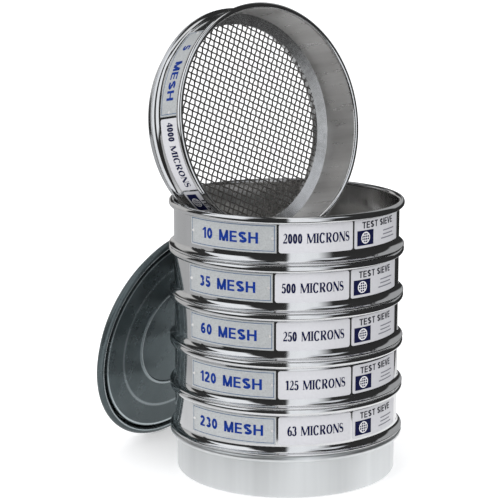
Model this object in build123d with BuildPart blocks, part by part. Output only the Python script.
from build123d import *
import math
import os

# A set of stacking 8-inch test sieves for grading soil: a receiving pan, five nested
# sieves, a sixth sieve standing on edge in the top one, and a lid leaning on the stack.
# Millimetres, +Z up, origin at the centre of the pan's underside.

# ---- driving dimensions ------------------------------------------------------------
SHEET = 0.8              # thickness of the spun and rolled steel
WALL_R = 102.4           # outer radius of a sieve's straight wall
WALL_INNER_R = WALL_R - SHEET
RIM_R = 107.0            # outermost radius of every rolled rim and of the lips
BEAD_HALF_HEIGHT = 3.3   # the rolled rim is a slightly oval tube
PITCH = 42.4             # height that each nested sieve adds to the stack
SEAT_GAP = 0.1           # running gap between a lip and the rim that it rests on
BEAD_Z = PITCH - BEAD_HALF_HEIGHT      # centre of the rim above the sieve's own seat

COVE_TOP = 8.0           # where the straight wall starts to flare
COVE_MID = (103.35, 4.2)
LIP_TOP = 1.9
LIP_ROUND = 0.8

SKIRT_R = 99.3           # outer radius of the ring that nests in the piece below
SKIRT_DEPTH = 14.0
SHELF_R = 93.5           # inner radius of the shelf that carries the cloth
CLOTH_EDGE_R = SKIRT_R - SHEET
CLOTH_Z = -3.0           # middle of the wire cloth, measured from the seat
CLAMP_R = 92.2           # inner edge of the ring that clamps the cloth
CLAMP_RISE = 3.2         # height of that ring's outer edge above the seat
GROOVE_R = WALL_INNER_R + SHEET / 2    # foot of the tapered seat of the ring and the flange
FLANGE_R = GROOVE_R - (GROOVE_R - WALL_INNER_R) * SHEET / (CLAMP_RISE - SEAT_GAP)

PAN_INNER_R = 99.95
PAN_BEAD_Z = 37.2
PAN_SEAT = PAN_BEAD_Z + BEAD_HALF_HEIGHT
PAN_BEND = 3.2           # outside bend between the pan's wall and its floor
PAN_SEAM_ANGLE = -89.7

LABEL_HEIGHT = 25.4
PLATE_THICK = 0.5
LABEL_THICK = 0.3
LABEL_GAP = 2.0
PLATE_ARC = 49.3         # degrees of wall that the riveted plate covers
LABEL_ARC = 37.5
PLATE_END = -95.5        # azimuth of the joint between plate and micron label
MICRON_ROUND = 2.2
MAKER_ROUND = 1.8
RIVET_R = 0.7
RIVET_HEAD_R = 1.3
RIVET_HEAD = 0.6
RIVET_TAIL = 0.3
RIVET_INSET = 3.2        # distance of each rivet from the plate's end

# cloths by mesh number, with nominal wire diameter and aperture
WIRES = {"5": 1.4, "10": 0.9, "35": 0.315, "60": 0.16, "120": 0.09, "230": 0.045}
APERTURES = {"5": 4.0, "10": 2.0, "35": 0.5, "60": 0.25, "120": 0.125, "230": 0.063}
THINNEST_CLOTH = 0.2     # fine cloths are at least this thick as solids

# the stack from the bottom up, with how far round each sieve is turned, in degrees
STACK = {"230": 0.2, "120": 0.0, "60": -1.0, "35": -1.7, "10": 0.1}
# the labels are put on by hand: height of their middle above the seat
LABEL_MIDDLE = {"5": 22.3, "10": 23.3, "35": 22.3, "60": 22.1, "120": 20.9, "230": 21.9}

# the sixth sieve stands on its lip in the top one and leans on the rim behind it
LOOSE_CENTRE = (-14.2, 10.4, 320.45)   # middle of its rolled rim
LOOSE_FACES = -49.43                   # azimuth that its open side faces
LOOSE_RISE = 10.44                     # how far that side looks up
LOOSE_TURN = 268.5                     # turn about its own axis

# the lid stands on its edge and leans on the stack
LID_FACES = -39.6
LID_LEAN = 13.6
LID_STANDOFF = 134.9     # from the stack's axis to the lid's centre
LID_SHIFT = -0.3
LID_FLOOR_GAP = 0.25
LID_BEAD_R = 103.45
LID_BEAD_TUBE = 3.5
LID_PANEL_TOP = 2.5
LID_PLUG_DEPTH = -8.2
LID_GROOVE_R = 97.6      # inner side of the groove behind the rim
LID_RIDGES = (51.6, 75.3, 95.4)
LID_RIDGE_HALF_WIDTH = 2.0
LID_RIDGE_HEIGHT = 1.0
LID_DIMPLE_R = 4.0
LID_DIMPLE_DEPTH = 0.9


# ---- helpers -----------------------------------------------------------------------
def direction(azimuth, rise=0.0):
    """Unit vector with this azimuth and this rise above the horizontal."""
    a = math.radians(azimuth)
    e = math.radians(rise)
    return Vector(math.cos(e) * math.cos(a), math.cos(e) * math.sin(a), math.sin(e))


def axis_of(seat):
    return Axis(seat.origin, seat.z_dir)


def outward(seat, azimuth):
    """Radial direction in a seat plane at this azimuth from its x direction."""
    a = math.radians(azimuth)
    return seat.x_dir * math.cos(a) + seat.y_dir * math.sin(a)


def section_plane(seat, azimuth=0.0):
    """Plane whose x is the radius and whose y is the height above the seat."""
    radial = outward(seat, azimuth)
    return Plane(origin=seat.origin, x_dir=radial, z_dir=radial.cross(seat.z_dir))


def wall_plane(seat, azimuth, height, radius):
    """Plane lying on the wall, with its normal pointing out along the radius."""
    radial = outward(seat, azimuth)
    origin = seat.origin + radial * radius + seat.z_dir * height
    return Plane(origin=origin, x_dir=seat.z_dir.cross(radial), z_dir=radial)


def save(piece, name):
    piece.part.label = name
    export_step(piece.part, f"parts/{name}.step")


def arc_length_to_degrees(length, radius=WALL_R):
    return math.degrees(length / radius)


# ---- seats -------------------------------------------------------------------------
def stacked_seat(level, turn):
    """Seat plane of a sieve in the stack; level 0 rests on the pan."""
    height = PAN_SEAT + level * PITCH
    return Plane(origin=(0, 0, height), x_dir=direction(turn), z_dir=(0, 0, 1))


def loose_seat():
    normal = direction(LOOSE_FACES, LOOSE_RISE)
    level_dir = Vector(0, 0, 1).cross(normal).normalized()
    upright = Plane(origin=(0, 0, 0), x_dir=level_dir, z_dir=normal)
    origin = Vector(*LOOSE_CENTRE) - normal * BEAD_Z
    return Plane(origin=origin, x_dir=outward(upright, LOOSE_TURN), z_dir=normal)


def lid_seat():
    """Plane through the middle of the lid's rolled rim, facing the stack."""
    normal = direction(LID_FACES, -LID_LEAN)
    level_dir = Vector(0, 0, 1).cross(normal).normalized()
    height = LID_BEAD_R * math.cos(math.radians(LID_LEAN)) + LID_BEAD_TUBE + LID_FLOOR_GAP
    centre = direction(LID_FACES) * -LID_STANDOFF + level_dir * LID_SHIFT
    return Plane(origin=centre + Vector(0, 0, height), x_dir=level_dir, z_dir=normal)


# ---- sieve pieces ------------------------------------------------------------------
def bead_section(inner_r, bead_z):
    """Rolled rim: an oval tube whose free edge stops just short of the wall."""
    half_width = (RIM_R - inner_r) / 2
    middle = inner_r + half_width
    with Locations((middle, bead_z)):
        Ellipse(half_width, BEAD_HALF_HEIGHT)
        Ellipse(half_width - SHEET, BEAD_HALF_HEIGHT - SHEET, mode=Mode.SUBTRACT)
    with Locations((inner_r + 1.7 * SHEET, bead_z - BEAD_HALF_HEIGHT + 1.2 * SHEET)):
        Rectangle(SHEET / 2, 2.4 * SHEET, mode=Mode.SUBTRACT)


def rivet_angles():
    inset = arc_length_to_degrees(RIVET_INSET)
    end = PLATE_END - arc_length_to_degrees(LABEL_GAP) / 2
    return (end - PLATE_ARC + inset, end - inset)


def rivet_planes(seat, mesh, radius):
    middle = LABEL_MIDDLE[mesh]
    return [wall_plane(seat, angle, middle, radius) for angle in rivet_angles()]


def make_frame(seat, mesh):
    """Spun frame: rolled rim, straight wall, and a cove that flares to the lip."""
    with BuildPart() as frame:
        with BuildSketch(section_plane(seat)):
            with BuildLine():
                Line((WALL_R, BEAD_Z), (WALL_R, COVE_TOP))
                ThreePointArc((WALL_R, COVE_TOP), COVE_MID, (RIM_R - LIP_ROUND, LIP_TOP))
                ThreePointArc(
                    (RIM_R - LIP_ROUND, LIP_TOP),
                    (RIM_R, (LIP_TOP + SEAT_GAP) / 2),
                    (RIM_R - LIP_ROUND, SEAT_GAP),
                )
                Polyline(
                    (RIM_R - LIP_ROUND, SEAT_GAP),
                    (GROOVE_R, SEAT_GAP),
                    (WALL_INNER_R, CLAMP_RISE),
                    (WALL_INNER_R, BEAD_Z),
                    (WALL_R, BEAD_Z),
                )
            make_face()
            bead_section(WALL_INNER_R, BEAD_Z)
        revolve(axis=axis_of(seat))
        for plane in rivet_planes(seat, mesh, WALL_R):
            with BuildSketch(plane):
                Circle(RIVET_R)
            extrude(amount=2 * SHEET, both=True, mode=Mode.SUBTRACT)
    return frame


def cloth_half(mesh):
    """Half the thickness of a plain disc with as much steel in it as the woven cloth."""
    wire = WIRES[mesh]
    even_thickness = math.pi * wire * wire / (2 * (wire + APERTURES[mesh]))
    return max(even_thickness, THINNEST_CLOTH) / 2


def make_skirt(seat, mesh):
    """Nesting ring with an outward flange at its top and a shelf under the cloth."""
    shelf_top = CLOTH_Z - cloth_half(mesh)
    with BuildPart() as skirt:
        with BuildSketch(section_plane(seat)):
            with BuildLine():
                Polyline(
                    (GROOVE_R, SEAT_GAP),
                    (FLANGE_R, SEAT_GAP + SHEET),
                    (SKIRT_R - SHEET, SEAT_GAP + SHEET),
                    (SKIRT_R - SHEET, shelf_top),
                    (SHELF_R, shelf_top),
                    (SHELF_R, shelf_top - SHEET),
                    (SKIRT_R - SHEET, shelf_top - SHEET),
                    (SKIRT_R - 1.5 * SHEET, -SKIRT_DEPTH),
                    (SKIRT_R - 0.5 * SHEET, -SKIRT_DEPTH),
                    (SKIRT_R, 1.2 * SHEET - SKIRT_DEPTH),
                    (SKIRT_R, SEAT_GAP),
                    close=True,
                )
            make_face()
        revolve(axis=axis_of(seat))
    return skirt


def make_clamp_ring(seat, mesh):
    """Sloping ring that holds the cloth down and leads grains off the wall."""
    cloth_top = CLOTH_Z + cloth_half(mesh)
    flange_top = SEAT_GAP + SHEET
    with BuildPart() as ring:
        with BuildSketch(section_plane(seat)):
            with BuildLine():
                Polyline(
                    (CLAMP_R, cloth_top),
                    (CLOTH_EDGE_R, cloth_top),
                    (CLOTH_EDGE_R, flange_top),
                    (FLANGE_R, flange_top),
                    (WALL_INNER_R, CLAMP_RISE),
                    (CLAMP_R, CLOTH_Z + WIRES[mesh] + SHEET),
                    close=True,
                )
            make_face()
        revolve(axis=axis_of(seat))
    return ring


def make_cloth(seat, mesh):
    """Wire cloth as a plain disc that holds the same amount of steel."""
    half = cloth_half(mesh)
    with BuildPart() as cloth:
        with BuildSketch(seat.offset(CLOTH_Z - half)):
            Circle(CLOTH_EDGE_R)
        extrude(amount=2 * half)
    return cloth


def make_wall_plate(seat, mesh, start, arc, thickness, corner=0.0, holes=()):
    """Thin curved plate lying on the wall from azimuth start, with rounded corners."""
    with BuildPart() as plate:
        with BuildSketch(section_plane(seat, start)):
            with Locations((WALL_R + thickness / 2, LABEL_MIDDLE[mesh])):
                Rectangle(thickness, LABEL_HEIGHT)
        revolve(axis=axis_of(seat), revolution_arc=arc)
        if corner:
            corners = plate.edges().filter_by(lambda edge: edge.length < 2 * thickness)
            fillet(corners, corner)
        for plane in holes:
            with BuildSketch(plane):
                Circle(RIVET_R)
            extrude(amount=2 * SHEET, both=True, mode=Mode.SUBTRACT)
    return plate


def make_nameplate(seat, mesh):
    half_gap = arc_length_to_degrees(LABEL_GAP) / 2
    start = PLATE_END - half_gap - PLATE_ARC
    holes = rivet_planes(seat, mesh, WALL_R)
    return make_wall_plate(seat, mesh, start, PLATE_ARC, PLATE_THICK, holes=holes)


def make_micron_label(seat, mesh):
    start = PLATE_END + arc_length_to_degrees(LABEL_GAP) / 2
    return make_wall_plate(seat, mesh, start, LABEL_ARC, LABEL_THICK, MICRON_ROUND)


def make_maker_label(seat, mesh):
    start = PLATE_END + LABEL_ARC + 1.5 * arc_length_to_degrees(LABEL_GAP)
    return make_wall_plate(seat, mesh, start, LABEL_ARC, LABEL_THICK, MAKER_ROUND)


def make_rivets(seat, mesh):
    """Two drive rivets through the nameplate and the wall."""
    with BuildPart() as rivets:
        for plane in rivet_planes(seat, mesh, WALL_INNER_R - RIVET_TAIL):
            with BuildSketch(plane):
                Circle(RIVET_R)
            extrude(amount=RIVET_TAIL + SHEET + PLATE_THICK + RIVET_HEAD / 2)
        for plane in rivet_planes(seat, mesh, WALL_R + PLATE_THICK):
            with BuildSketch(plane):
                Circle(RIVET_HEAD_R)
            extrude(amount=RIVET_HEAD, taper=28)
    return rivets


def make_sieve(mesh, seat):
    name = f"sieve_{mesh}"
    save(make_frame(seat, mesh), f"{name}_frame")
    save(make_skirt(seat, mesh), f"{name}_skirt")
    save(make_clamp_ring(seat, mesh), f"{name}_clamp_ring")
    save(make_cloth(seat, mesh), f"{name}_cloth")
    save(make_nameplate(seat, mesh), f"{name}_nameplate")
    save(make_micron_label(seat, mesh), f"{name}_micron_label")
    save(make_maker_label(seat, mesh), f"{name}_maker_label")
    save(make_rivets(seat, mesh), f"{name}_rivets")


# ---- receiving pan -----------------------------------------------------------------
def make_pan_wall():
    """Rolled and seam-welded band, beaded at the top and turned in at the bottom."""
    outer_r = PAN_INNER_R + SHEET
    inner_bend = PAN_BEND - SHEET
    slope = math.sqrt(0.5)
    with BuildPart() as wall:
        with BuildSketch(section_plane(Plane.XY)):
            with BuildLine():
                Line((outer_r, PAN_BEAD_Z), (outer_r, PAN_BEND))
                ThreePointArc(
                    (outer_r, PAN_BEND),
                    (outer_r - PAN_BEND * (1 - slope), PAN_BEND * (1 - slope)),
                    (outer_r - PAN_BEND, 0),
                )
                Line((outer_r - PAN_BEND, 0), (outer_r - PAN_BEND, SHEET))
                ThreePointArc(
                    (outer_r - PAN_BEND, SHEET),
                    (PAN_INNER_R - inner_bend * (1 - slope), SHEET + inner_bend * (1 - slope)),
                    (PAN_INNER_R, PAN_BEND),
                )
                Line((PAN_INNER_R, PAN_BEND), (PAN_INNER_R, PAN_BEAD_Z))
                Line((PAN_INNER_R, PAN_BEAD_Z), (outer_r, PAN_BEAD_Z))
            make_face()
            bead_section(PAN_INNER_R, PAN_BEAD_Z)
        revolve(axis=Axis.Z)
        seam_low = 2 * PAN_BEND
        seam_high = PAN_BEAD_Z - 1.5 * BEAD_HALF_HEIGHT
        seam_height = (seam_low + seam_high) / 2
        with BuildSketch(wall_plane(Plane.XY, PAN_SEAM_ANGLE, seam_height, outer_r)):
            Rectangle(SHEET / 2, seam_high - seam_low)
        extrude(amount=SHEET / 4, both=True, mode=Mode.SUBTRACT)
    return wall


def make_pan_floor():
    with BuildPart() as floor:
        with BuildSketch(Plane.XY):
            Circle(PAN_INNER_R + SHEET - PAN_BEND)
        extrude(amount=SHEET)
    return floor


# ---- lid ---------------------------------------------------------------------------
def make_lid(seat):
    """Pressed lid: ridged panel, a folded plug behind it, and a rolled rim."""
    plug_inner = SKIRT_R - SHEET
    plug_join = -LID_BEAD_TUBE
    with BuildPart() as lid:
        with BuildSketch(section_plane(seat)):
            with BuildLine():
                Polyline(
                    (0, LID_PANEL_TOP - LID_DIMPLE_DEPTH),
                    (LID_DIMPLE_R / 2, LID_PANEL_TOP - LID_DIMPLE_DEPTH),
                    (LID_DIMPLE_R, LID_PANEL_TOP),
                    (LID_GROOVE_R, LID_PANEL_TOP),
                    (LID_GROOVE_R, LID_PLUG_DEPTH + SHEET),
                    (plug_inner, LID_PLUG_DEPTH + SHEET),
                    (plug_inner, plug_join),
                    (plug_inner + 1.9 * SHEET, plug_join / 2),
                    (plug_inner + 3.3 * SHEET, plug_join / 2 - SHEET / 2),
                    (SKIRT_R, plug_join - SHEET / 2),
                    (SKIRT_R, LID_PLUG_DEPTH),
                    (LID_GROOVE_R - SHEET, LID_PLUG_DEPTH),
                    (LID_GROOVE_R - SHEET, LID_PANEL_TOP - SHEET),
                    (LID_DIMPLE_R + SHEET / 4, LID_PANEL_TOP - SHEET),
                    (LID_DIMPLE_R / 2, LID_PANEL_TOP - LID_DIMPLE_DEPTH - SHEET),
                    (0, LID_PANEL_TOP - LID_DIMPLE_DEPTH - SHEET),
                    close=True,
                )
            make_face()
            with BuildLine():
                for radius in LID_RIDGES:
                    foot = LID_RIDGE_HALF_WIDTH
                    ThreePointArc(
                        (radius - foot, LID_PANEL_TOP),
                        (radius, LID_PANEL_TOP + LID_RIDGE_HEIGHT),
                        (radius + foot, LID_PANEL_TOP),
                    )
                    Line((radius + foot, LID_PANEL_TOP), (radius - foot, LID_PANEL_TOP))
            make_face()
            with Locations((LID_BEAD_R, 0)):
                Circle(LID_BEAD_TUBE)
                Circle(LID_BEAD_TUBE - SHEET, mode=Mode.SUBTRACT)
            with Locations((LID_BEAD_R, -LID_BEAD_TUBE + SHEET / 2)):
                Rectangle(SHEET / 2, 2 * SHEET, mode=Mode.SUBTRACT)
        revolve(axis=axis_of(seat))
    return lid


# ---- build everything --------------------------------------------------------------
os.makedirs("parts", exist_ok=True)
save(make_pan_wall(), "pan_wall")
save(make_pan_floor(), "pan_floor")
for level, (mesh, turn) in enumerate(STACK.items()):
    make_sieve(mesh, stacked_seat(level, turn))
make_sieve("5", loose_seat())
save(make_lid(lid_seat()), "lid")
